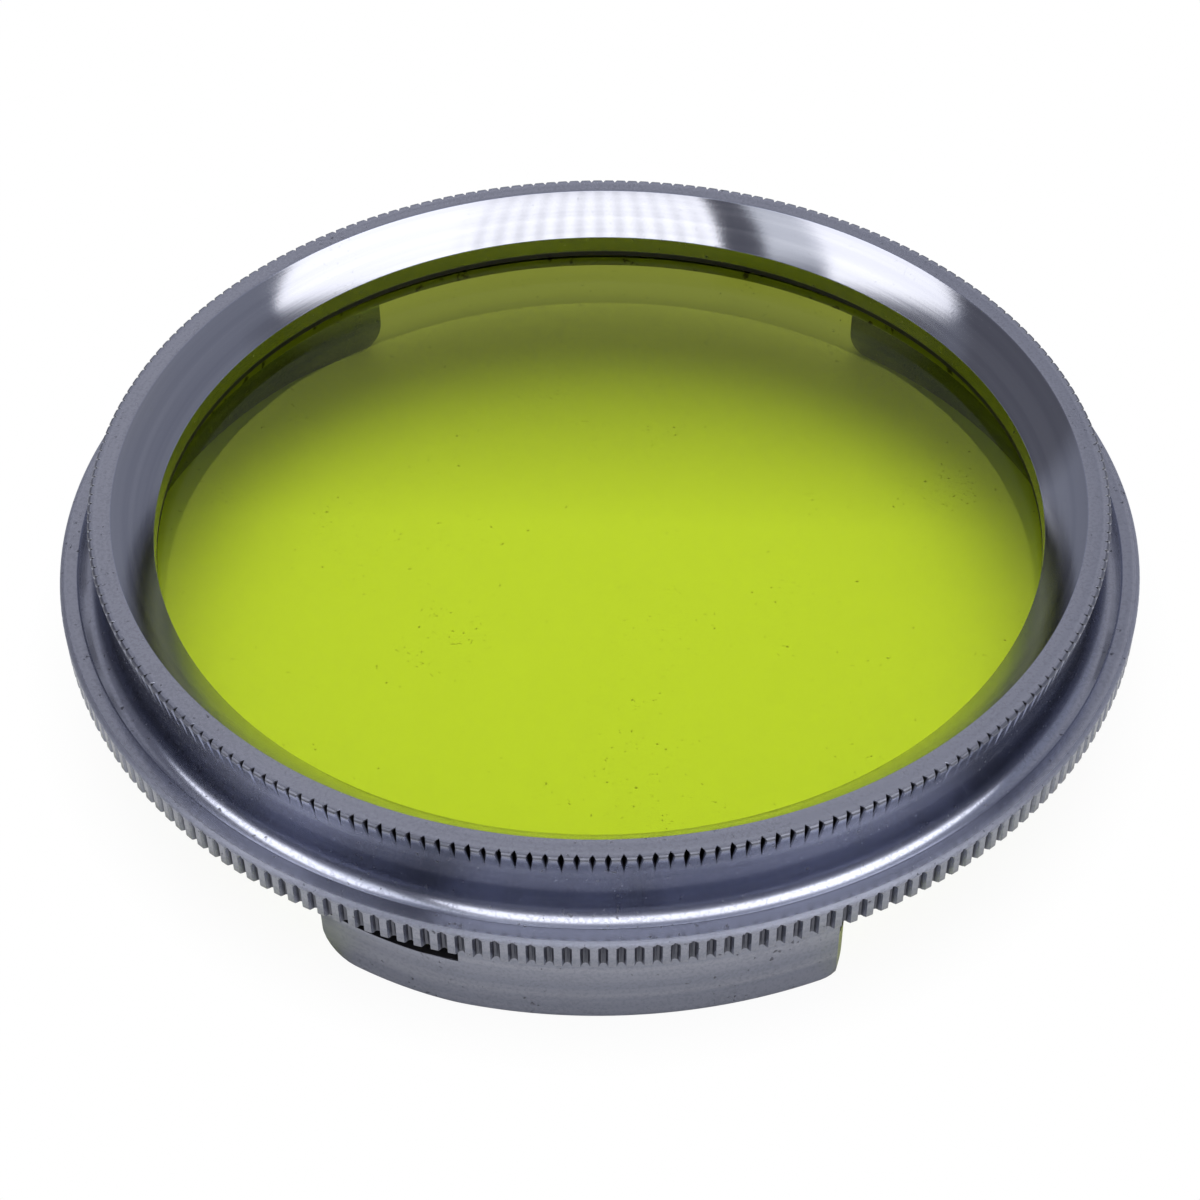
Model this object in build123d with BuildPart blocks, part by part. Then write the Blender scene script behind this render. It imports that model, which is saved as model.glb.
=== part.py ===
"""Slip-on colour filter for a camera lens.

A turned aluminium mount holds a disc of yellow-green glass. Three tabs stand under the
knurled rim and slip over the lens barrel. A horizontal saw cut frees one end of each tab
as a spring finger, shown here pressed out nearly flush, as it stands on a lens barrel. The
glass goes in from behind and a split spring ring holds it against the front land.

The origin is on the filter's axis, in the plane of the tab feet. +Z points out of the
front of the filter, and the middle of one tab faces -Y.
"""
import os
from math import degrees, radians, sin

from build123d import *

os.makedirs("parts", exist_ok=True)

# Widths of the turned profile. The lens barrel sets the first, and the rest follow from it.
lens_radius = 18.5  # inside of the tabs, for a 37 mm lens barrel
tab_wall = 1.1
seat_width = 0.85  # shoulder that the lens barrel stops against
land_width = 1.25  # front land, over the edge of the glass
bevel_width = 1.4  # 45 degree bevel round the opening
front_width = 0.6  # flat front ring, from the bevel out to the bezel
notch_relief = 0.03  # notched band, set in from the plain bezel
groove_width = 0.9  # from the bezel to the outer wall of the groove
rim_width = 0.7  # from that wall to the crests of the coarse knurl

# Heights, from the feet of the tabs to the front face
tab_height = 3.1
rim_height = 1.17
bezel_height = 2.53  # front face above the top of the rim
groove_depth = 0.6  # groove floor below the top of the rim
groove_corner = 0.65  # turning tool's nose, at the foot of the bezel
seat_depth = 0.45  # lens seat below the underside of the rim
ring_recess = 0.4  # spring ring above the lens seat

# Glass and the spring ring behind it
glass_thickness = 1.0
glass_play = 0.05
ring_thickness = 0.4
ring_width = 0.55
ring_split = 9.0  # degrees left open for fitting

# Fine V notches round the front edge of the bezel, deepest and widest at the front face
notch_count = 236
notch_width = 0.27
notch_depth = 0.22
notch_height = 0.94
notch_end = 0.04  # depth left at the foot, where the notches meet the plain bezel

# Coarse straight knurl on the rim
flute_count = 218
flute_width = 0.34
flute_depth = 0.24

# Tabs
tab_count = 3
tab_angle = 53.4
finger_angle = 15.3  # the part of each tab that the saw cut frees
saw_cut = 0.85
finger_set = 0.09  # how far the free end still leans in against the barrel
free_corner = 1.3
fixed_corner = 0.9
filed_edge = 0.35

# Radii that follow from the widths
tab_radius = lens_radius + tab_wall
pocket_radius = lens_radius - seat_width
aperture_radius = pocket_radius - land_width
bevel_radius = aperture_radius + bevel_width
bezel_radius = bevel_radius + front_width
crest_radius = bezel_radius - notch_relief
core_radius = crest_radius - 2 * notch_depth
cove_radius = bezel_radius + groove_corner
groove_radius = bezel_radius + groove_width
rim_radius = groove_radius + rim_width
glass_radius = pocket_radius - glass_play

# Levels that follow from the heights
rim_underside = tab_height
rim_top = rim_underside + rim_height
front_face = rim_top + bezel_height
groove_floor = rim_top - groove_depth
bezel_foot = groove_floor + groove_corner
bevel_foot = front_face - bevel_width
notch_foot = front_face - notch_height
lens_seat = rim_underside - seat_depth
ring_back = lens_seat + ring_recess
glass_back = ring_back + ring_thickness
glass_front = glass_back + glass_thickness

# Tab: the fixed part, from the rim down to its foot
with BuildPart() as tab_body:
    with BuildSketch():
        with BuildLine():
            body_start = finger_angle - tab_angle / 2
            body_outer = CenterArc((0, 0), tab_radius, body_start, tab_angle - finger_angle)
            body_inner = CenterArc((0, 0), lens_radius, body_start, tab_angle - finger_angle)
            Line(body_outer @ 0, body_inner @ 0)
            Line(body_outer @ 1, body_inner @ 1)
        make_face()
    extrude(amount=tab_height)
    end_face = tab_body.faces().filter_by(GeomType.PLANE).sort_by(Axis.Y)[-1]
    outer_end = end_face.edges().filter_by(Axis.Z).sort_by(Axis.X)[-1]
    chamfer(outer_end, filed_edge)
    feet = tab_body.edges().filter_by(GeomType.LINE).group_by(Axis.Z)[0]
    fillet(feet.sort_by(Axis.Y)[-1], fixed_corner)

# Tab: the spring finger, turned inward about the outer edge where the saw cut ends
bend = Vector(tab_radius, 0, 0).rotate(Axis.Z, body_start)
finger_reach = 2 * tab_radius * sin(radians(finger_angle / 2))
bend_angle = -degrees(finger_set / finger_reach)
finger_centre = bend - bend.rotate(Axis.Z, bend_angle)
finger_x = Vector(1, 0, 0).rotate(Axis.Z, bend_angle)
with BuildPart() as finger:
    with BuildSketch(Plane(origin=finger_centre, x_dir=finger_x, z_dir=(0, 0, 1))):
        with BuildLine():
            finger_outer = CenterArc((0, 0), tab_radius, -tab_angle / 2, finger_angle)
            finger_inner = CenterArc((0, 0), lens_radius, -tab_angle / 2, finger_angle)
            Line(finger_outer @ 0, finger_inner @ 0)
            Line(finger_outer @ 1, finger_inner @ 1)
        make_face()
    extrude(amount=tab_height - saw_cut)
    finger_feet = finger.edges().filter_by(GeomType.LINE).group_by(Axis.Z)[0]
    fillet(finger_feet.sort_by(Axis.Y)[0], free_corner)

# Band of the rim that carries the coarse straight knurl
flute_corners = [
    Vector(rim_radius, -flute_width / 2),
    Vector(rim_radius - flute_depth, 0),
    Vector(rim_radius, flute_width / 2),
]
knurl_corners = []
for flute in range(flute_count):
    for corner in flute_corners:
        knurl_corners.append(corner.rotate(Axis.Z, flute * 360 / flute_count))

with BuildPart() as rim_band:
    with BuildSketch(Plane.XY.offset(rim_underside)):
        with BuildLine():
            Polyline(*knurl_corners, close=True)
        make_face()
        Circle(groove_radius, mode=Mode.SUBTRACT)
    extrude(amount=rim_height)

# Cutter for one fine notch: a V whose floor rises outwards, from the front face to its foot
notch_low = Vector(crest_radius - notch_end, 0, notch_foot)
notch_high = Vector(crest_radius - notch_depth, 0, front_face)
notch_slope = notch_high - notch_low
with BuildPart() as notch_cutter:
    with BuildSketch(Plane(origin=notch_low - notch_slope, x_dir=(0, 1, 0), z_dir=notch_slope)):
        Polygon(
            (0, 0),
            (-notch_width, -2 * notch_depth),
            (notch_width, -2 * notch_depth),
            align=None,
        )
    extrude(amount=3 * notch_height)

# Band of the bezel that carries the fine notches, with a flat crest between each two
with BuildPart() as notch_band:
    with BuildSketch(Plane.XY.offset(notch_foot)):
        RegularPolygon(crest_radius, notch_count)
        Circle(core_radius, mode=Mode.SUBTRACT)
    extrude(amount=notch_height)
    with PolarLocations(0, notch_count):
        add(notch_cutter.part, mode=Mode.SUBTRACT)

# Mount: bezel, rim and lens seat turned in one piece with the tabs
with BuildPart() as mount_ring:
    with BuildSketch(Plane.XZ):
        with BuildLine():
            Polyline(
                (cove_radius, groove_floor),
                (groove_radius, groove_floor),
                (groove_radius, rim_underside),
                (lens_radius, rim_underside),
                (lens_radius, lens_seat),
                (pocket_radius, lens_seat),
                (pocket_radius, glass_front),
                (aperture_radius, glass_front),
                (aperture_radius, bevel_foot),
                (bevel_radius, front_face),
                (core_radius, front_face),
                (core_radius, notch_foot),
                (bezel_radius, notch_foot),
                (bezel_radius, bezel_foot),
            )
            RadiusArc((bezel_radius, bezel_foot), (cove_radius, groove_floor), -groove_corner)
        make_face()
    revolve(axis=Axis.Z)
    add(rim_band.part)
    add(notch_band.part)
    with PolarLocations(0, tab_count, start_angle=-90):
        add(tab_body.part)
        add(finger.part)

# Glass: a flat disc
with BuildPart() as filter_glass:
    with BuildSketch(Plane.XY.offset(glass_back)):
        Circle(glass_radius)
    extrude(amount=glass_thickness)

# Spring ring: flat wire, split at the front, springing against the wall of the pocket
with BuildPart() as retaining_ring:
    with BuildSketch(Plane.XY.offset(ring_back)):
        with BuildLine():
            wire_start = ring_split / 2 - 90
            wire_sweep = 360 - ring_split
            wire_outer = CenterArc((0, 0), pocket_radius, wire_start, wire_sweep)
            wire_inner = CenterArc((0, 0), pocket_radius - ring_width, wire_start, wire_sweep)
            Line(wire_outer @ 0, wire_inner @ 0)
            Line(wire_outer @ 1, wire_inner @ 1)
        make_face()
    extrude(amount=ring_thickness)

mount_ring.part.label = "mount_ring"
export_step(mount_ring.part, "parts/mount_ring.step")

filter_glass.part.label = "filter_glass"
export_step(filter_glass.part, "parts/filter_glass.step")

retaining_ring.part.label = "retaining_ring"
export_step(retaining_ring.part, "parts/retaining_ring.step")
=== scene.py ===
import math

import bmesh
import bpy
from mathutils import Matrix, Vector


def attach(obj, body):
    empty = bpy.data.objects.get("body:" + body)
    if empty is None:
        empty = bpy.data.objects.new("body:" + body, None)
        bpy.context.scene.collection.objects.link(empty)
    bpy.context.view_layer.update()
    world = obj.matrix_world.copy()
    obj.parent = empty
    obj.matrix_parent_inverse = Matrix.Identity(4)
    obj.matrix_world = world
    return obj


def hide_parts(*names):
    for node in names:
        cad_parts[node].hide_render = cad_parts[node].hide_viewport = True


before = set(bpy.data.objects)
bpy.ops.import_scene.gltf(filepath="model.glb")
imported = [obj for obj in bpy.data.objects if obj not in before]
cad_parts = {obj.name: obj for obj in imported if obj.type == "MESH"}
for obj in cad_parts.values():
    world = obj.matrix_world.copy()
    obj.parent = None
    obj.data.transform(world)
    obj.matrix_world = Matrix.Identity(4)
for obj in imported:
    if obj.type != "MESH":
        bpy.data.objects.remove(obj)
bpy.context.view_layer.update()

# Mount ring, front part: the bezel, with its 45 degree bevel, the lens seat behind it and the
# cove at its foot. Aluminium, turned from bar. Its lip flares where the fine V notches were
# pressed in last.
mm = 0.001
aperture_radius = 16.4 * mm
bevel_radius = 17.8 * mm
lip_radius = 18.64 * mm
lip_foot = 5.5 * mm
bezel_radius = 18.4 * mm
pocket_radius = 17.65 * mm
lens_radius = 18.5 * mm
rim_underside = 3.1 * mm
rim_top = 4.27 * mm
front_face = 6.8 * mm
bevel_foot = 5.4 * mm
glass_front = 4.45 * mm
lens_seat = 2.65 * mm
groove_floor = 3.67 * mm
cove_radius = 0.65 * mm
groove_radius = 19.3 * mm
notch_count = 236
notch_foot = 5.86 * mm
notch_middle = 6.4 * mm
notch_start = 18.4 * mm
notch_half_angle = math.radians(28)
front_edge = 0.1 * mm
broken_edge = 0.05 * mm
root_overlap = 0.35 * mm  # how far one turned part runs into the next before they are fused
root_height = 0.25 * mm  # how far the rim and the tabs run up inside the bezel's root


def turned_outline(corners):
    """Points (r, z) round a closed section. A corner (r, z, radius, steps) is rounded if it has a radius."""
    points = []
    for index, (r, z, radius, steps) in enumerate(corners):
        here = Vector((r, z))
        if not radius:
            points.append(here)
            continue
        before = Vector(corners[index - 1][:2]) - here
        after = Vector(corners[(index + 1) % len(corners)][:2]) - here
        before.normalize()
        after.normalize()
        half = before.angle(after) / 2
        start = here + before * (radius / math.tan(half))
        centre = here + (before + after).normalized() * (radius / math.sin(half))
        turn = (start - centre).angle_signed(here + after * (radius / math.tan(half)) - centre)
        for step in range(steps + 1):
            points.append(centre + Matrix.Rotation(-turn * step / steps, 2) @ (start - centre))
    return points


def strip_of_rows(name, rows):
    """A mesh from a closed round of rows of (r, angle, z, cut). Points that coincide are one vertex."""
    same_point = 0.0002 * mm
    mesh = bpy.data.meshes.new(name)
    body = bmesh.new()
    cut_layer = body.verts.layers.float.new("cut")
    known = {}
    grid = []
    for row in rows:
        line = []
        for r, angle, z, cut in row:
            spot = (r * math.cos(angle), r * math.sin(angle), z)
            key = tuple(round(value / same_point) for value in spot)
            if key not in known:
                known[key] = body.verts.new(spot)
                known[key][cut_layer] = cut
            line.append(known[key])
        grid.append(line)
    for index, line in enumerate(grid):
        following = grid[(index + 1) % len(grid)]
        for column in range(len(line) - 1):
            ring = [line[column], line[column + 1], following[column + 1], following[column]]
            corners = []
            for vertex in ring:
                if vertex not in corners:
                    corners.append(vertex)
            if len(corners) > 2 and body.faces.get(corners) is None:
                body.faces.new(corners)
    body.to_mesh(mesh)
    body.free()
    piece = bpy.data.objects.new(name, mesh)
    bpy.context.scene.collection.objects.link(piece)
    return piece


def lip_at(z):
    """Radius of the flared lip at this height."""
    share = (z - lip_foot) / (front_face - lip_foot)
    return bezel_radius + (lip_radius - bezel_radius) * max(0.0, share)


def notch_floor(z):
    """Radius of the bottom of a notch, which runs out to the lip at its foot."""
    share = (z - notch_foot) / (front_face - notch_foot)
    return lip_at(notch_foot) + (notch_start - lip_at(notch_foot)) * share


bezel_rows = []
notch_pitch = math.tau / notch_count
for r, z in turned_outline([
    (aperture_radius, bevel_foot, broken_edge, 2),
    (bevel_radius, front_face, broken_edge, 3),
    (notch_start, front_face, 0, 0),
    (lip_radius, front_face, front_edge, 4),
    (lip_at(notch_middle), notch_middle, 0, 0),
    (lip_at(notch_foot), notch_foot, 0, 0),
    (bezel_radius, lip_foot, 0, 0),
    (bezel_radius, groove_floor, cove_radius, 10),
    (groove_radius + root_overlap, groove_floor, 0, 0),
    (groove_radius + root_overlap, rim_underside + root_height, 0, 0),
    (lens_radius, rim_underside + root_height, 0, 0),
    (lens_radius, lens_seat, broken_edge, 2),
    (pocket_radius, lens_seat, broken_edge, 2),
    (pocket_radius, glass_front, 0, 0),
    (aperture_radius, glass_front, broken_edge, 1),
]):
    floor_radius = r
    if z > notch_foot and r > notch_start:
        floor_radius = min(r, notch_floor(z))
    half_width = math.tan(notch_half_angle) * (r - floor_radius) / r
    bezel_rows.append([
        (r, -notch_pitch / 2, z, 0),
        (r, -half_width, z, 0),
        (floor_radius, 0, z, 1 if half_width else 0),
        (r, half_width, z, 0),
        (r, notch_pitch / 2, z, 0),
    ])
bezel_pitch = strip_of_rows("bezel_pitch", bezel_rows)


def repeat_round_axis():
    """Geometry Nodes tree: repeats one pitch of a ring round the Z axis and welds the copies."""
    tree = bpy.data.node_groups.new("repeat_round_axis", "GeometryNodeTree")
    face = tree.interface
    face.new_socket("Geometry", in_out="INPUT", socket_type="NodeSocketGeometry")
    face.new_socket("Count", in_out="INPUT", socket_type="NodeSocketInt")
    face.new_socket("Depth Spread", in_out="INPUT", socket_type="NodeSocketFloat")
    face.new_socket("Seed", in_out="INPUT", socket_type="NodeSocketInt")
    face.new_socket("Weld Distance", in_out="INPUT", socket_type="NodeSocketFloat")
    face.new_socket("Material", in_out="INPUT", socket_type="NodeSocketMaterial")
    face.new_socket("Geometry", in_out="OUTPUT", socket_type="NodeSocketGeometry")
    new, link = tree.nodes.new, tree.links.new
    given = new("NodeGroupInput")
    result = new("NodeGroupOutput")

    points = new("GeometryNodePoints")
    link(given.outputs["Count"], points.inputs["Count"])
    number = new("GeometryNodeInputIndex")
    step = new("ShaderNodeMath")
    step.operation = "DIVIDE"
    step.inputs[0].default_value = math.tau
    link(given.outputs["Count"], step.inputs[1])
    turn = new("ShaderNodeMath")
    turn.operation = "MULTIPLY"
    link(number.outputs[0], turn.inputs[0])
    link(step.outputs[0], turn.inputs[1])
    angles = new("ShaderNodeCombineXYZ")
    link(turn.outputs[0], angles.inputs["Z"])
    rotation = new("FunctionNodeEulerToRotation")
    link(angles.outputs[0], rotation.inputs[0])
    copies = new("GeometryNodeInstanceOnPoints")
    link(points.outputs[0], copies.inputs["Points"])
    link(given.outputs["Geometry"], copies.inputs["Instance"])
    link(rotation.outputs[0], copies.inputs["Rotation"])

    numbered = new("GeometryNodeStoreNamedAttribute")
    numbered.data_type = "INT"
    numbered.domain = "INSTANCE"
    numbered.inputs["Name"].default_value = "copy_number"
    link(copies.outputs[0], numbered.inputs["Geometry"])
    link(number.outputs[0], numbered.inputs["Value"])
    solid = new("GeometryNodeRealizeInstances")
    link(numbered.outputs[0], solid.inputs[0])

    copy_number = new("GeometryNodeInputNamedAttribute")
    copy_number.data_type = "INT"
    copy_number.inputs["Name"].default_value = "copy_number"
    chance = new("FunctionNodeRandomValue")
    chance.data_type = "FLOAT"
    chance.inputs[2].default_value = -1
    chance.inputs[3].default_value = 1
    link(copy_number.outputs[0], chance.inputs["ID"])
    link(given.outputs["Seed"], chance.inputs["Seed"])
    cut = new("GeometryNodeInputNamedAttribute")
    cut.data_type = "FLOAT"
    cut.inputs["Name"].default_value = "cut"
    cut_spread = new("ShaderNodeMath")
    cut_spread.operation = "MULTIPLY"
    link(cut.outputs[0], cut_spread.inputs[0])
    link(given.outputs["Depth Spread"], cut_spread.inputs[1])
    shift = new("ShaderNodeMath")
    shift.operation = "MULTIPLY"
    link(cut_spread.outputs[0], shift.inputs[0])
    link(chance.outputs[1], shift.inputs[1])
    place = new("GeometryNodeInputPosition")
    flat = new("ShaderNodeVectorMath")
    flat.operation = "MULTIPLY"
    flat.inputs[1].default_value = (1, 1, 0)
    link(place.outputs[0], flat.inputs[0])
    outward = new("ShaderNodeVectorMath")
    outward.operation = "NORMALIZE"
    link(flat.outputs[0], outward.inputs[0])
    offset = new("ShaderNodeVectorMath")
    offset.operation = "SCALE"
    link(outward.outputs[0], offset.inputs[0])
    link(shift.outputs[0], offset.inputs["Scale"])
    moved = new("GeometryNodeSetPosition")
    link(solid.outputs[0], moved.inputs["Geometry"])
    link(offset.outputs[0], moved.inputs["Offset"])

    weld = new("GeometryNodeMergeByDistance")
    link(moved.outputs[0], weld.inputs["Geometry"])
    link(given.outputs["Weld Distance"], weld.inputs["Distance"])
    dressed = new("GeometryNodeSetMaterial")
    link(weld.outputs[0], dressed.inputs["Geometry"])
    link(given.outputs["Material"], dressed.inputs["Material"])
    link(dressed.outputs[0], result.inputs[0])
    return tree


def repeated(piece, tree, settings):
    """Runs the tree on the piece and leaves a plain mesh with its faces outwards."""
    modifier = piece.modifiers.new("repeat", "NODES")
    modifier.node_group = tree
    for item in tree.interface.items_tree:
        if item.in_out == "INPUT" and item.name in settings:
            modifier[item.identifier] = settings[item.name]
    whole = bpy.data.meshes.new_from_object(
        piece.evaluated_get(bpy.context.evaluated_depsgraph_get()))
    piece.modifiers.remove(modifier)
    piece.data = whole
    body = bmesh.new()
    body.from_mesh(whole)
    bmesh.ops.recalc_face_normals(body, faces=body.faces)
    body.to_mesh(whole)
    body.free()
    return piece


aluminium = bpy.data.materials.new("turned_aluminium")
repeat_tree = repeat_round_axis()
weld_distance = 0.001 * mm
bezel = repeated(bezel_pitch, repeat_tree, {
    "Count": notch_count,
    "Depth Spread": 0.03 * mm,
    "Seed": 4,
    "Weld Distance": weld_distance,
    "Material": aluminium,
})

# Mount ring, rim: the wide flange that is gripped to push the filter on, outside the groove.
# Its edge carries a coarse straight knurl with round-bottomed flutes, rolled in on the lathe.
rim_radius = 20.0 * mm
flute_count = 218
flute_depth = 0.22 * mm
flute_top = 4.12 * mm
flute_arch = 0.17 * mm
flute_half_width = 0.16 * mm
flute_columns = (-1, -0.85, -0.5, 0, 0.5, 0.85, 1)
rim_edge = 0.17 * mm
low_edge = 0.08 * mm
flute_root = rim_radius - flute_depth - 0.02 * mm
rim_inset = 0.1 * mm  # clear of the bezel's own faces, inside its metal

rim_rows = []
flute_pitch = math.tau / flute_count
for r, z in turned_outline([
    (groove_radius, rim_top, low_edge, 3),
    (flute_root, rim_top, 0, 0),
    (rim_radius, rim_top, rim_edge, 4),
    (rim_radius, flute_top - flute_arch / 3, 0, 0),
    (rim_radius, flute_top - flute_arch * 2 / 3, 0, 0),
    (rim_radius, flute_top - flute_arch, 0, 0),
    (rim_radius, rim_underside, low_edge, 2),
    (flute_root, rim_underside, 0, 0),
    (lens_radius - rim_inset, rim_underside, 0, 0),
    (lens_radius - rim_inset, groove_floor - rim_inset, 0, 0),
    (groove_radius, groove_floor - rim_inset, 0, 0),
]):
    row = [(r, -flute_pitch / 2, z, 0)]
    for share in flute_columns:
        reach = flute_top - z - flute_arch * (1 - math.sqrt(1 - share ** 2))
        fade = min(1.0, max(0.0, reach / flute_arch))
        depth = flute_depth * (1 - abs(share) ** 3) * math.sqrt(fade)
        row.append((min(r, rim_radius - depth), share * flute_half_width / rim_radius, z, 0))
    row.append((r, flute_pitch / 2, z, 0))
    rim_rows.append(row)
rim = repeated(strip_of_rows("rim", rim_rows), repeat_tree, {
    "Count": flute_count,
    "Depth Spread": 0.0,
    "Seed": 1,
    "Weld Distance": weld_distance,
    "Material": aluminium,
})

# Mount ring, tabs: three curved tongues that slip over the lens barrel. Cut from the turned
# ring, with a saw cut under the rim that frees one end of each as a spring finger, bent inwards.
tab_count = 3
tab_wall = 1.1 * mm
tab_angle = math.radians(53.4)
finger_angle = math.radians(15.3)
saw_cut = 0.85 * mm
finger_set = 0.4 * mm
finger_curve = 1.4  # the bend grows towards the free end
free_corner = 1.3 * mm
fixed_corner = 0.9 * mm
filed_edge = 0.35 * mm
tab_edge = 0.07 * mm
seat_overlap = 0.3 * mm  # the root of each tab runs into the lens seat
tab_radius = lens_radius + tab_wall
cut_top = rim_underside - saw_cut
tab_top = rim_underside + root_height
finger_columns = 16
body_columns = 36
low_rows = 7
high_rows = 4


def corner_lift(distance, radius):
    """Height of a rounded lower corner at this distance from the tab's end."""
    if distance >= radius:
        return 0.0
    return radius - math.sqrt(radius ** 2 - (radius - distance) ** 2)


def even(start, end, steps):
    return [start + (end - start) * step / steps for step in range(steps + 1)]


def tab_column(angle, has_root):
    """Heights up one column of the tab, at an angle from the tab's middle."""
    to_free_end = (angle + tab_angle / 2) * tab_radius
    to_fixed_end = (tab_angle / 2 - angle) * tab_radius
    low = max(corner_lift(to_free_end, free_corner), corner_lift(to_fixed_end, fixed_corner))
    heights = even(low, cut_top, low_rows)
    if has_root:
        heights += even(cut_top, tab_top, high_rows)[1:]
    return heights


def tab_point(angle, z, outer):
    """Place of a point on the tab, with the finger's bend and the root inside the ring."""
    r = tab_radius if outer else lens_radius
    if z > lens_seat and not outer:
        r -= seat_overlap
    to_fixed_end = (tab_angle / 2 - angle) * tab_radius
    if outer and to_fixed_end < filed_edge:
        r -= filed_edge - to_fixed_end
    past_cut = max(0.0, finger_angle - tab_angle / 2 - angle) / finger_angle
    r -= finger_set * past_cut ** finger_curve
    turn = angle - math.pi / 2
    return (r * math.cos(turn), r * math.sin(turn), z)


def tab_mesh():
    cut_end = finger_angle - tab_angle / 2
    corner_steps = 7
    free_angles = [-tab_angle / 2 + free_corner / tab_radius * (1 - math.cos(turn))
                   for turn in even(0, math.pi / 2, corner_steps)]
    fixed_angles = [tab_angle / 2 - fixed_corner / tab_radius * (1 - math.cos(turn))
                    for turn in even(math.pi / 2, 0, corner_steps)]
    angles = free_angles + even(free_angles[-1], cut_end, finger_columns)[1:]
    cut_column = len(angles) - 1
    angles += even(cut_end, fixed_angles[0], body_columns)[1:] + fixed_angles[1:]
    body = bmesh.new()
    sides = []
    for outer in (True, False):
        columns = []
        for index, angle in enumerate(angles):
            heights = tab_column(angle, index >= cut_column)
            columns.append([body.verts.new(tab_point(angle, z, outer)) for z in heights])
        for index in range(len(columns) - 1):
            line, following = columns[index], columns[index + 1]
            for row in range(min(len(line), len(following)) - 1):
                body.faces.new((line[row], line[row + 1], following[row + 1], following[row]))
        sides.append(columns)
    rim_loops = [edge for edge in body.edges if edge.is_boundary]
    bmesh.ops.bridge_loops(body, edges=rim_loops)
    bmesh.ops.recalc_face_normals(body, faces=body.faces)
    mesh = bpy.data.meshes.new("tabs")
    body.to_mesh(mesh)
    body.free()
    return mesh


tabs = bpy.data.objects.new("tabs", tab_mesh())
bpy.context.scene.collection.objects.link(tabs)
tab_bevel = tabs.modifiers.new("edges", "BEVEL")
tab_bevel.width = tab_edge
tab_bevel.segments = 2
tab_bevel.limit_method = "ANGLE"
tab_bevel.angle_limit = math.radians(50)
tabs_rounded = bpy.data.meshes.new_from_object(
    tabs.evaluated_get(bpy.context.evaluated_depsgraph_get()))
tabs.modifiers.clear()
tabs.data = tabs_rounded
repeated(tabs, repeat_tree, {
    "Count": tab_count,
    "Depth Spread": 0.0,
    "Seed": 1,
    "Weld Distance": weld_distance / 10,
    "Material": aluminium,
})

# The turned parts and the tabs are one piece of metal, so their shells are fused here.
for part in (rim, tabs):
    union = bezel.modifiers.new("fuse", "BOOLEAN")
    union.operation = "UNION"
    union.solver = "MANIFOLD"
    union.object = part
mount = bezel
mount_mesh = bpy.data.meshes.new_from_object(
    mount.evaluated_get(bpy.context.evaluated_depsgraph_get()))
mount.modifiers.clear()
mount.data = mount_mesh
mount.name = "mount"
for part in (rim, tabs):
    bpy.data.objects.remove(part)
for name in ("cut", "copy_number"):
    if name in mount_mesh.attributes:
        mount_mesh.attributes.remove(mount_mesh.attributes[name])
mount_mesh.materials.clear()
mount_mesh.materials.append(aluminium)
mount_mesh.shade_smooth()
mount_mesh.set_sharp_from_angle(angle=math.radians(32))
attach(mount, "root")
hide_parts("mount_ring")


def grouped(name, inputs, outputs):
    """An empty shader node group with named inputs and outputs."""
    tree = bpy.data.node_groups.new(name, "ShaderNodeTree")
    for label, kind, value in inputs:
        socket = tree.interface.new_socket(label, in_out="INPUT", socket_type=kind)
        if value is not None:
            socket.default_value = value
    for label, kind in outputs:
        tree.interface.new_socket(label, in_out="OUTPUT", socket_type=kind)
    return tree, tree.nodes.new("NodeGroupInput"), tree.nodes.new("NodeGroupOutput")


def maths(tree, operation, first, second=None, clamp=False):
    """One math node. A number is set on its socket and anything else is linked to it."""
    node = tree.nodes.new("ShaderNodeMath")
    node.operation = operation
    node.use_clamp = clamp
    for socket, value in zip(node.inputs, (first, second)):
        if value is None:
            continue
        if isinstance(value, (int, float)):
            socket.default_value = value
        else:
            tree.links.new(value, socket)
    return node.outputs[0]


def ramp(tree, value, low, high, low_out=0.0, high_out=1.0):
    """Maps a value from low..high to low_out..high_out, and holds it outside that range."""
    node = tree.nodes.new("ShaderNodeMapRange")
    node.inputs["From Min"].default_value = low
    node.inputs["From Max"].default_value = high
    node.inputs["To Min"].default_value = low_out
    node.inputs["To Max"].default_value = high_out
    tree.links.new(value, node.inputs["Value"])
    return node.outputs["Result"]


def blended(tree, amount, first, second):
    """Colour between first and second by amount. A tuple is set on its socket."""
    node = tree.nodes.new("ShaderNodeMix")
    node.data_type = "RGBA"
    if isinstance(amount, (int, float)):
        node.inputs[0].default_value = amount
    else:
        tree.links.new(amount, node.inputs[0])
    for socket, colour in ((node.inputs[6], first), (node.inputs[7], second)):
        if isinstance(colour, tuple):
            socket.default_value = (*colour, 1)
        else:
            tree.links.new(colour, socket)
    return node.outputs[2]


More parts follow.
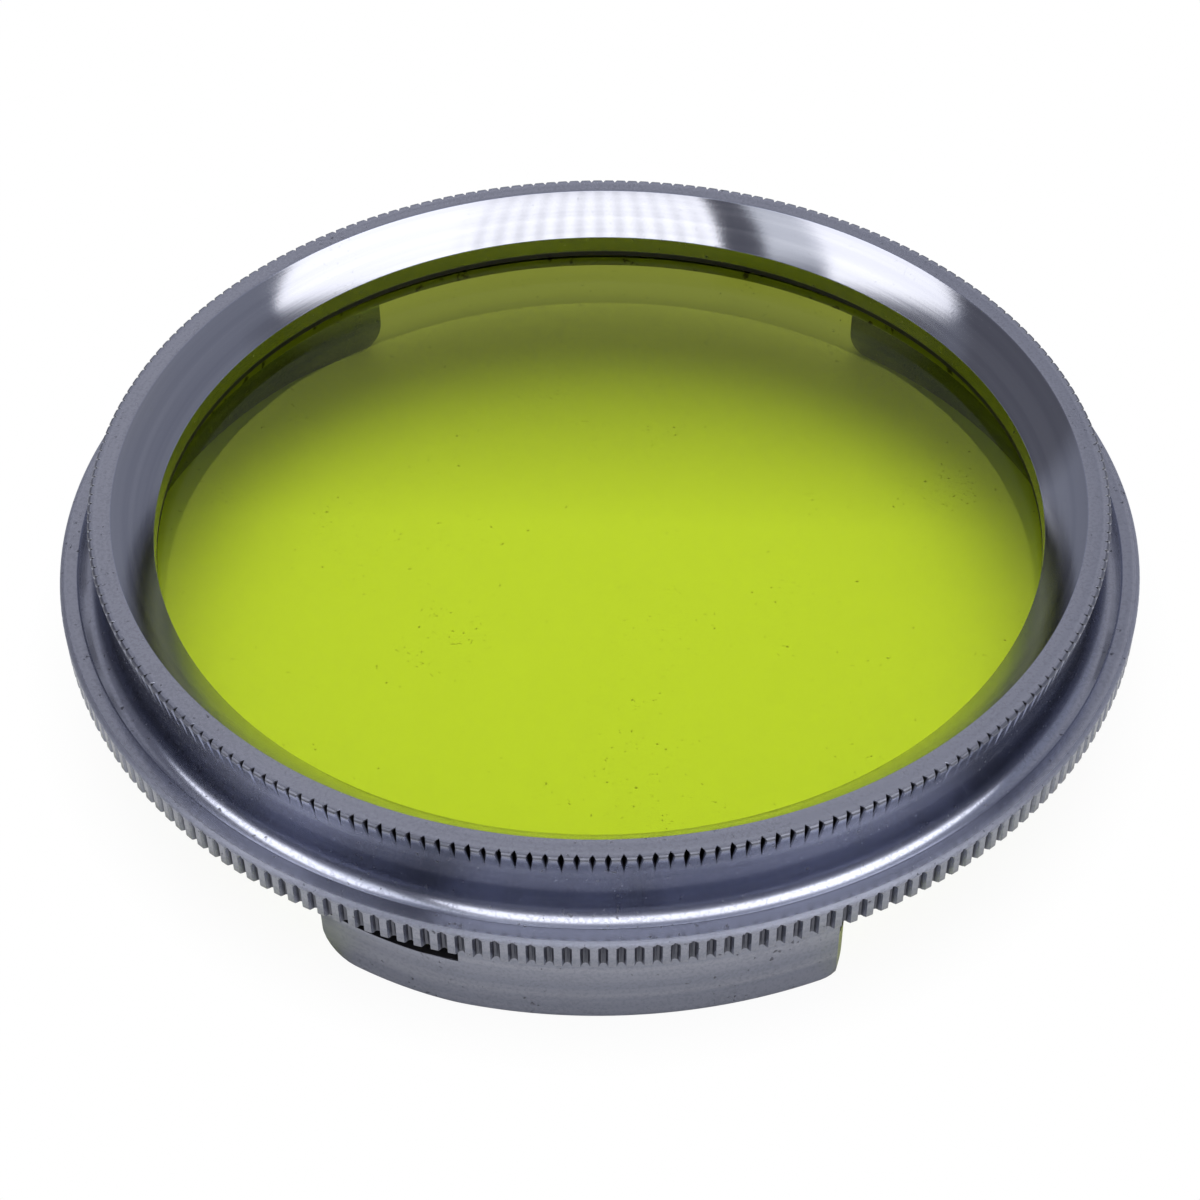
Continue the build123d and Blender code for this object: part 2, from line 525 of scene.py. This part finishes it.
def turning_marks():
    """Lathe marks: fine lines round the axis that change with radius and height."""
    tree, given, result = grouped(
        "turning_marks",
        [("Lines per Millimetre", "NodeSocketFloat", 8.0), ("Breakup", "NodeSocketFloat", 2.0)],
        [("Height", "NodeSocketFloat"), ("Streak", "NodeSocketFloat"),
         ("Radius", "NodeSocketFloat"), ("Level", "NodeSocketFloat")])
    place = tree.nodes.new("ShaderNodeTexCoord")
    apart = tree.nodes.new("ShaderNodeSeparateXYZ")
    tree.links.new(place.outputs["Object"], apart.inputs[0])
    x, y, z = apart.outputs
    radius = maths(tree, "SQRT", maths(tree, "ADD", maths(tree, "MULTIPLY", x, x),
                                       maths(tree, "MULTIPLY", y, y)))
    density = maths(tree, "MULTIPLY", given.outputs["Lines per Millimetre"], 1000.0)
    across = tree.nodes.new("ShaderNodeCombineXYZ")
    tree.links.new(maths(tree, "MULTIPLY", radius, density), across.inputs["X"])
    tree.links.new(maths(tree, "MULTIPLY", z, density), across.inputs["Y"])
    along = maths(tree, "MULTIPLY", maths(tree, "DIVIDE", x, radius), given.outputs["Breakup"])
    tree.links.new(along, across.inputs["Z"])
    for label, detail, share in (("Height", 4.0, 1.0), ("Streak", 2.0, 0.25)):
        noise = tree.nodes.new("ShaderNodeTexNoise")
        noise.noise_dimensions = "4D"
        noise.inputs["Scale"].default_value = share
        noise.inputs["Detail"].default_value = detail
        tree.links.new(across.outputs[0], noise.inputs["Vector"])
        tree.links.new(maths(tree, "MULTIPLY", maths(tree, "DIVIDE", y, radius),
                             given.outputs["Breakup"]), noise.inputs["W"])
        tree.links.new(noise.outputs[0], result.inputs[label])
    tree.links.new(radius, result.inputs["Radius"])
    tree.links.new(z, result.inputs["Level"])
    return tree


def specks():
    """Small dark spots of dirt and pits, with patches where they gather."""
    tree, given, result = grouped(
        "specks",
        [("Spots per Millimetre", "NodeSocketFloat", 3.0), ("Cover", "NodeSocketFloat", 0.3)],
        [("Spots", "NodeSocketFloat"), ("Patches", "NodeSocketFloat")])
    place = tree.nodes.new("ShaderNodeTexCoord")
    fine = tree.nodes.new("ShaderNodeTexNoise")
    tree.links.new(place.outputs["Object"], fine.inputs["Vector"])
    tree.links.new(maths(tree, "MULTIPLY", given.outputs["Spots per Millimetre"], 1000.0),
                   fine.inputs["Scale"])
    fine.inputs["Detail"].default_value = 3.0
    broad = tree.nodes.new("ShaderNodeTexNoise")
    broad.inputs["Scale"].default_value = 260.0
    broad.inputs["Detail"].default_value = 3.0
    tree.links.new(place.outputs["Object"], broad.inputs["Vector"])
    patches = ramp(tree, broad.outputs[0], 0.42, 0.68)
    bar = maths(tree, "SUBTRACT", 0.78, maths(tree, "MULTIPLY", given.outputs["Cover"], 0.25))
    over = maths(tree, "SUBTRACT", maths(tree, "ADD", fine.outputs[0],
                                         maths(tree, "MULTIPLY", patches, 0.08)), bar)
    spots = maths(tree, "MULTIPLY", over, 14.0, clamp=True)
    tree.links.new(spots, result.inputs["Spots"])
    tree.links.new(patches, result.inputs["Patches"])
    return tree


marks_group = turning_marks()
specks_group = specks()


def placed(tree, group, values):
    """The group's node in a material, with its own values."""
    node = tree.nodes.new("ShaderNodeGroup")
    node.node_tree = group
    for label, value in values.items():
        node.inputs[label].default_value = value
    return node


def new_surface(material):
    """An empty material tree with its Principled shader and output joined."""
    material.use_nodes = True
    tree = material.node_tree
    tree.nodes.clear()
    shader = tree.nodes.new("ShaderNodeBsdfPrincipled")
    output = tree.nodes.new("ShaderNodeOutputMaterial")
    tree.links.new(shader.outputs[0], output.inputs["Surface"])
    return tree, shader, output


# Finish of the mount: blue-grey satin aluminium with a brighter bevel, fine lathe marks, black dirt
# in specks, on the lip's edge and along the groove, and painted shade, near-black, in the notches,
# the flutes, the saw cuts and at the foot of the land. The land carries painted olive light.
tree, shader, _ = new_surface(aluminium)
marks = placed(tree, marks_group, {"Lines per Millimetre": 9.0, "Breakup": 1.5})
dirt = placed(tree, specks_group, {"Spots per Millimetre": 5.0, "Cover": 0.35})
mottle = placed(tree, specks_group, {"Spots per Millimetre": 9.0, "Cover": 1.0})
radius, level = marks.outputs["Radius"], marks.outputs["Level"]


def either_mask(first, second):
    return maths(tree, "MAXIMUM", first, second)


def both_masks(first, second):
    return maths(tree, "MULTIPLY", first, second)


lip_slope = (lip_radius - bezel_radius) / (front_face - lip_foot)
on_bevel = both_masks(ramp(tree, radius, bevel_radius, bevel_radius - 0.04 * mm),
                      both_masks(ramp(tree, level, bevel_foot - 0.03 * mm, bevel_foot + 0.02 * mm),
                                 ramp(tree, radius, aperture_radius, aperture_radius + 0.04 * mm)))
on_land = both_masks(ramp(tree, radius, aperture_radius + 0.06 * mm, aperture_radius + 0.02 * mm),
                     ramp(tree, level, bevel_foot, bevel_foot - 0.04 * mm))
lip_here = maths(tree, "ADD", maths(tree, "MULTIPLY", level, lip_slope),
                 bezel_radius - lip_foot * lip_slope)
# Painted shade: near-black colour on the notch floors, where shade falls in them.
notch_painted_shade = both_masks(ramp(tree, maths(tree, "SUBTRACT", lip_here, radius), 0.03 * mm, 0.10 * mm),
                      both_masks(ramp(tree, level, front_face - 0.02 * mm, front_face - 0.06 * mm),
                                 ramp(tree, level, notch_foot + 0.02 * mm, notch_foot + 0.12 * mm)))
notch_painted_shade = both_masks(notch_painted_shade, ramp(tree, radius, notch_start - 0.2 * mm, notch_start - 0.1 * mm))
# Painted shade: the flute floors are darkened where shade falls in them.
flute_painted_shade = both_masks(ramp(tree, radius, rim_radius - 0.05 * mm, rim_radius - 0.16 * mm),
                      both_masks(ramp(tree, radius, rim_radius - 0.30 * mm, rim_radius - 0.28 * mm),
                                 ramp(tree, level, rim_top - 0.01 * mm, rim_top - 0.05 * mm)))
# Painted shade: near-black colour on the faces inside the saw cut under the rim.
saw_cut_painted_shade = both_masks(both_masks(ramp(tree, radius, tab_radius - 0.03 * mm, tab_radius - 0.06 * mm),
                               ramp(tree, radius, lens_radius + 0.02 * mm, lens_radius + 0.05 * mm)),
                    both_masks(ramp(tree, level, cut_top - 0.05 * mm, cut_top - 0.01 * mm),
                               ramp(tree, level, rim_underside + 0.04 * mm, rim_underside)))
# Painted shade: a near-black band on the land just above the glass, where the glass meets the metal.
land_foot_painted_shade = both_masks(on_land,
                       ramp(tree, level, glass_front + 0.29 * mm, glass_front + 0.23 * mm))
groove_dirt = both_masks(
    both_masks(ramp(tree, radius, groove_radius - 0.28 * mm, groove_radius - 0.18 * mm),
               ramp(tree, radius, groove_radius + 0.04 * mm, groove_radius - 0.04 * mm)),
    ramp(tree, dirt.outputs["Patches"], 0.2, 0.8))
# Dirt and painted shade in one mask: the notches, flutes, saw cuts and land foot are painted shade; the
# specks, the lip's edge and the groove patches are dirt.
dirt_and_painted_shade = either_mask(maths(tree, "MULTIPLY", notch_painted_shade, 0.96),
                     maths(tree, "MULTIPLY", flute_painted_shade, 0.62))
dirt_and_painted_shade = either_mask(dirt_and_painted_shade, maths(tree, "MULTIPLY", saw_cut_painted_shade, 0.97))
dirt_and_painted_shade = either_mask(dirt_and_painted_shade, maths(tree, "MULTIPLY", land_foot_painted_shade, 0.9))
dirt_and_painted_shade = either_mask(dirt_and_painted_shade, maths(tree, "MULTIPLY", groove_dirt, 0.35))
satin = maths(tree, "SUBTRACT", 1.0, on_bevel)
spots = both_masks(dirt.outputs["Spots"], maths(tree, "ADD", maths(
    tree, "MULTIPLY", satin, 0.5), 0.08))
dirt_and_painted_shade = either_mask(dirt_and_painted_shade, spots)
worn_lip = both_masks(both_masks(ramp(tree, radius, lip_radius - 0.14 * mm, lip_radius - 0.11 * mm),
                                 ramp(tree, radius, lip_radius + 0.06 * mm, lip_radius + 0.04 * mm)),
                      ramp(tree, level, front_face - 0.12 * mm, front_face - 0.09 * mm))
dirt_and_painted_shade = either_mask(dirt_and_painted_shade, maths(tree, "MULTIPLY", worn_lip, 0.5))
dirt_and_painted_shade = either_mask(dirt_and_painted_shade, both_masks(mottle.outputs["Spots"],
                                        maths(tree, "MULTIPLY", satin, 0.10)))

satin_dark = (0.34, 0.358, 0.435)
satin_pale = (0.43, 0.445, 0.52)
# Painted light: olive for the land, the colour of light that comes through the green glass.
painted_olive_light = (0.17, 0.165, 0.06)
bevel_dark = (0.29, 0.295, 0.33)
bevel_pale = (0.37, 0.375, 0.405)
# Near-black, for both the dirt and the painted shade.
dirt_and_shade_colour = (0.012, 0.011, 0.012)
streak = ramp(tree, marks.outputs["Streak"], 0.35, 0.65)
tone = blended(tree, on_bevel,
               blended(tree, streak, satin_dark, satin_pale),
               blended(tree, streak, bevel_dark, bevel_pale))
# Painted light: the land is given an olive colour, the green of light through the glass.
tone = blended(tree, maths(tree, "MULTIPLY", on_land, 0.85), tone, painted_olive_light)
tree.links.new(blended(tree, dirt_and_painted_shade, tone, dirt_and_shade_colour), shader.inputs["Base Color"])
worn_rim = both_masks(ramp(tree, radius, rim_radius - 0.18 * mm, rim_radius - 0.15 * mm),
                      ramp(tree, level, rim_top - 0.19 * mm, rim_top - 0.16 * mm))
rough = maths(tree, "ADD", maths(tree, "MULTIPLY", satin, 0.07),
              maths(tree, "MULTIPLY", dirt_and_painted_shade, 0.35))
rough = maths(tree, "ADD", rough, maths(tree, "MULTIPLY", worn_rim, 0.3))
rough = maths(tree, "ADD", rough, ramp(tree, marks.outputs["Streak"], 0.3, 0.7, 0.08, 0.12))
tree.links.new(rough, shader.inputs["Roughness"])
shader.inputs["Metallic"].default_value = 1.0
shader.inputs["Anisotropic"].default_value = 0.9
shader.inputs["Anisotropic Rotation"].default_value = 0.25
tangent = tree.nodes.new("ShaderNodeTangent")
tangent.direction_type = "RADIAL"
tangent.axis = "Z"
tree.links.new(tangent.outputs[0], shader.inputs["Tangent"])
relief = tree.nodes.new("ShaderNodeBump")
relief.inputs["Strength"].default_value = 0.2
relief.inputs["Distance"].default_value = 0.006 * mm
tree.links.new(maths(tree, "SUBTRACT", marks.outputs["Height"],
                     maths(tree, "MULTIPLY", mottle.outputs["Spots"], 0.1)),
               relief.inputs["Height"])
tree.links.new(relief.outputs[0], shader.inputs["Normal"])

# Filter glass: a flat disc of yellow-green glass behind the land under the bevel. Dyed in the
# melt and polished; a few specks of dust lie on it. Its low index keeps the room's haze faint.
glass = bpy.data.materials.new("yellow_green_glass")
tree, shader, output = new_surface(glass)
glass_colour = (0.725, 0.84, 0.10)
dust = placed(tree, specks_group, {"Spots per Millimetre": 5.0, "Cover": 0.2})
dust_colour = (0.05, 0.06, 0.01)
tree.links.new(blended(tree, maths(tree, "MULTIPLY", dust.outputs["Spots"], 0.7),
                       glass_colour, dust_colour), shader.inputs["Base Color"])
shader.inputs["Transmission Weight"].default_value = 1.0
shader.inputs["Roughness"].default_value = 0.02
shader.inputs["IOR"].default_value = 1.3
shadow_tint = (0.845, 0.914, 0.346)  # of light that goes on through one face to the ground
clear = tree.nodes.new("ShaderNodeBsdfTransparent")
clear.inputs[0].default_value = (*shadow_tint, 1)
rays = tree.nodes.new("ShaderNodeLightPath")
either = tree.nodes.new("ShaderNodeMixShader")
tree.links.new(rays.outputs["Is Shadow Ray"], either.inputs[0])
tree.links.new(shader.outputs[0], either.inputs[1])
tree.links.new(clear.outputs[0], either.inputs[2])
tree.links.new(either.outputs[0], output.inputs["Surface"])
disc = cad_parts["filter_glass"]
disc.data.materials.clear()
disc.data.materials.append(glass)

# Retaining ring: flat spring wire, split, that holds the glass from behind. Dull steel.
steel = bpy.data.materials.new("dull_spring_steel")
tree, shader, _ = new_surface(steel)
marks = placed(tree, marks_group, {"Lines per Millimetre": 5.0, "Breakup": 3.0})
dirt = placed(tree, specks_group, {"Spots per Millimetre": 2.0, "Cover": 0.5})
steel_dark = (0.16, 0.16, 0.16)
steel_pale = (0.26, 0.26, 0.25)
rust_colour = (0.05, 0.04, 0.03)
tone = blended(tree, marks.outputs["Streak"], steel_dark, steel_pale)
tree.links.new(blended(tree, dirt.outputs["Spots"], tone, rust_colour),
               shader.inputs["Base Color"])
tree.links.new(maths(tree, "ADD", maths(tree, "MULTIPLY", marks.outputs["Height"], 0.2), 0.35),
               shader.inputs["Roughness"])
shader.inputs["Metallic"].default_value = 1.0
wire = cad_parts["retaining_ring"]
wire.data.materials.clear()
wire.data.materials.append(steel)

# Stage: a plain white table with painted shade on its colour towards the rear, a soft world light
# above it and one broad lamp behind the filter. The camera sees both as white.
table_size = 600 * mm
table_mesh = bpy.data.meshes.new("table")
table_mesh.from_pydata(
    [(-table_size, -table_size, 0), (table_size, -table_size, 0),
     (table_size, table_size, 0), (-table_size, table_size, 0)], [], [(0, 1, 2, 3)])
table = bpy.data.objects.new("table", table_mesh)
bpy.context.scene.collection.objects.link(table)
table_top = bpy.data.materials.new("white_table")
tree, shader, output = new_surface(table_top)
shader.inputs["Roughness"].default_value = 0.8
shader.inputs["Specular IOR Level"].default_value = 0.2
white = tree.nodes.new("ShaderNodeEmission")
rays = tree.nodes.new("ShaderNodeLightPath")
seen = rays.outputs["Is Camera Ray"]
place = tree.nodes.new("ShaderNodeTexCoord")
apart = tree.nodes.new("ShaderNodeSeparateXYZ")
tree.links.new(place.outputs["Object"], apart.inputs[0])
# Painted shade: the table's colour darkens from 4 mm to 15 mm behind the axis and stays dark beyond.
painted_shade_rearward = ramp(tree, apart.outputs[1], 4 * mm, 15 * mm)
table_white = (0.80, 0.80, 0.80)
table_painted_shade = (0.34, 0.34, 0.34)
tree.links.new(blended(tree, painted_shade_rearward, table_white, table_painted_shade),
               shader.inputs["Base Color"])
away = maths(tree, "SQRT", maths(tree, "ADD",
                                 maths(tree, "MULTIPLY", apart.outputs[0], apart.outputs[0]),
                                 maths(tree, "MULTIPLY", apart.outputs[1], apart.outputs[1])))
mirrored = maths(tree, "SUBTRACT", rays.outputs["Is Glossy Ray"],
                 rays.outputs["Is Transmission Ray"], clamp=True)
share = maths(tree, "MULTIPLY", seen, ramp(tree, away, 18.5 * mm, 22 * mm, 0.93, 1.0))
outside = ramp(tree, away, 18.5 * mm, 21 * mm, 0.0, 0.33)
share = maths(tree, "ADD", share, maths(tree, "MULTIPLY", mirrored, outside))
both = tree.nodes.new("ShaderNodeMixShader")
tree.links.new(share, both.inputs[0])
tree.links.new(shader.outputs[0], both.inputs[1])
tree.links.new(white.outputs[0], both.inputs[2])
tree.links.new(both.outputs[0], output.inputs["Surface"])
table_mesh.materials.append(table_top)

sky = bpy.data.worlds.new("sky")
bpy.context.scene.world = sky
sky.use_nodes = True
tree = sky.node_tree
tree.nodes.clear()
soft_light = tree.nodes.new("ShaderNodeBackground")
soft_light.inputs["Color"].default_value = (1.0, 0.99, 0.98, 1)
lamp_bearing = math.radians(180)
lamp_height = math.radians(56)
lamp_way = (math.sin(lamp_bearing) * math.cos(lamp_height),
            -math.cos(lamp_bearing) * math.cos(lamp_height), math.sin(lamp_height))
place = tree.nodes.new("ShaderNodeTexCoord")
facing = tree.nodes.new("ShaderNodeVectorMath")
facing.operation = "DOT_PRODUCT"
facing.inputs[1].default_value = lamp_way
tree.links.new(place.outputs["Generated"], facing.inputs[0])
sky_level = 0.32
lamp_level = 2.9
lamp = ramp(tree, facing.outputs["Value"], 0.80, 0.95, sky_level, lamp_level)
tree.links.new(lamp, soft_light.inputs["Strength"])
plain = tree.nodes.new("ShaderNodeBackground")
rays = tree.nodes.new("ShaderNodeLightPath")
shown = tree.nodes.new("ShaderNodeMixShader")
plain.inputs["Color"].default_value = (1, 1, 1, 1)
tree.links.new(rays.outputs["Is Camera Ray"], shown.inputs[0])
tree.links.new(soft_light.outputs[0], shown.inputs[1])
tree.links.new(plain.outputs[0], shown.inputs[2])
sky_output = tree.nodes.new("ShaderNodeOutputWorld")
tree.links.new(shown.outputs[0], sky_output.inputs[0])

# The room that the metal mirrors: a dome with bright windows in front, to the right and to the
# left, on mid-grey and dark walls. Only reflections see it.
dome_radius = 500 * mm
dome_mesh = bpy.data.meshes.new("room")
dome_body = bmesh.new()
bmesh.ops.create_uvsphere(dome_body, u_segments=96, v_segments=48, radius=dome_radius)
dome_body.to_mesh(dome_mesh)
dome_body.free()
dome = bpy.data.objects.new("room", dome_mesh)
bpy.context.scene.collection.objects.link(dome)
dome.visible_camera = False
dome.visible_diffuse = False
dome.visible_transmission = False
dome.visible_shadow = False
walls = bpy.data.materials.new("room_walls")
tree, shader, output = new_surface(walls)
tree.nodes.remove(shader)
place = tree.nodes.new("ShaderNodeTexCoord")
apart = tree.nodes.new("ShaderNodeSeparateXYZ")
tree.links.new(place.outputs["Object"], apart.inputs[0])
bearing = maths(tree, "MULTIPLY", maths(
    tree, "ARCTAN2", apart.outputs[0], maths(tree, "MULTIPLY", apart.outputs[1], -1.0)),
    180 / math.pi)
height = maths(tree, "MULTIPLY", maths(
    tree, "ARCSINE", maths(tree, "DIVIDE", apart.outputs[2], dome_radius)), 180 / math.pi)


def patch(value, low, high, edge):
    """1 between low and high degrees, with soft ends."""
    return maths(tree, "MULTIPLY", ramp(tree, value, low - edge, low + edge),
                 ramp(tree, value, high - edge, high + edge, 1.0, 0.0))


blind_step = 5.8  # degrees from slat to slat
sill = 35
lintel = 68
wide_start = -33  # bearings of the windows and walls, in degrees to the right of the front
wide_end = 93
narrow_start = -99
narrow_end = -62
dark_corner = (-135, -100)
window_post = (-46, -30)
pale_curtain = (-62, -46)
window_strength = 2.0
slat_shade = 0.85
wall = (0.38, 0.40, 0.49)
rear_wall = (0.46, 0.46, 0.50)
dark_wall = (0.20, 0.205, 0.25)
pale_wall = (1.5, 1.55, 1.65)
window = (1.0, 1.0, 1.02)
aside = maths(tree, "ABSOLUTE", bearing)
light = blended(tree, maths(tree, "MULTIPLY", ramp(tree, aside, 120, 150),
                            ramp(tree, height, 18, 34)), wall, rear_wall)
light = blended(tree, patch(bearing, *dark_corner, 3.0), light, dark_wall)
light = blended(tree, patch(bearing, *window_post, 1.0), light, dark_wall)
light = blended(tree, maths(tree, "MULTIPLY", patch(bearing, *pale_curtain, 1.5),
                            ramp(tree, height, 38, 44)), light, pale_wall)
low_front = maths(tree, "MULTIPLY", patch(bearing, -95, 95, 8.0), patch(height, -60, 33, 2.0))
light = blended(tree, low_front, light, dark_wall)
wide_window = patch(bearing, wide_start, wide_end, 1.0)
narrow_window = maths(tree, "MULTIPLY", patch(bearing, narrow_start, narrow_end, 2.0), 0.95)
panels = maths(tree, "MAXIMUM", wide_window, narrow_window)
panels = maths(tree, "MULTIPLY", panels, patch(height, sill, lintel, 1.5))
light = blended(tree, panels, light, window)
slats = maths(tree, "SINE", maths(tree, "MULTIPLY", bearing, math.tau / blind_step))
slats = maths(tree, "MULTIPLY", ramp(tree, slats, -0.5, 0.8), patch(bearing, -30, 40, 4.0))
strength = maths(tree, "SUBTRACT", window_strength, maths(tree, "MULTIPLY", slats, slat_shade))
strength = maths(tree, "ADD", 1.0, maths(tree, "MULTIPLY", panels, strength))
glow = tree.nodes.new("ShaderNodeEmission")
tree.links.new(light, glow.inputs["Color"])
tree.links.new(strength, glow.inputs["Strength"])
tree.links.new(glow.outputs[0], output.inputs["Surface"])
dome_mesh.materials.append(walls)
walls.cycles.emission_sampling = "NONE"

# Camera: above and in front of the filter, at the angle from which the photograph was taken.
view_azimuth = math.radians(2.5)
view_elevation = math.radians(41.59)
view_distance = 89.70 * mm
view_tilt = math.radians(-2.45)
view_roll = math.radians(-0.57)
lens_data = bpy.data.cameras.new("camera")
lens_data.lens = 72.39
lens_data.sensor_width = 36.0
lens_data.clip_start = 1 * mm
camera = bpy.data.objects.new("camera", lens_data)
bpy.context.scene.collection.objects.link(camera)
turned = Matrix.Rotation(view_azimuth, 4, "Z")
back = turned @ Vector((0, -math.cos(view_elevation), math.sin(view_elevation), 0))
spot = Vector((0, 0, bevel_foot)) + back.to_3d() * view_distance
camera.matrix_world = (Matrix.Translation(spot) @ turned
                       @ Matrix.Rotation(math.pi / 2 - view_elevation + view_tilt, 4, "X")
                       @ Matrix.Rotation(view_roll, 4, "Z"))
bpy.context.scene.camera = camera
bpy.context.scene.view_settings.view_transform = "Standard"
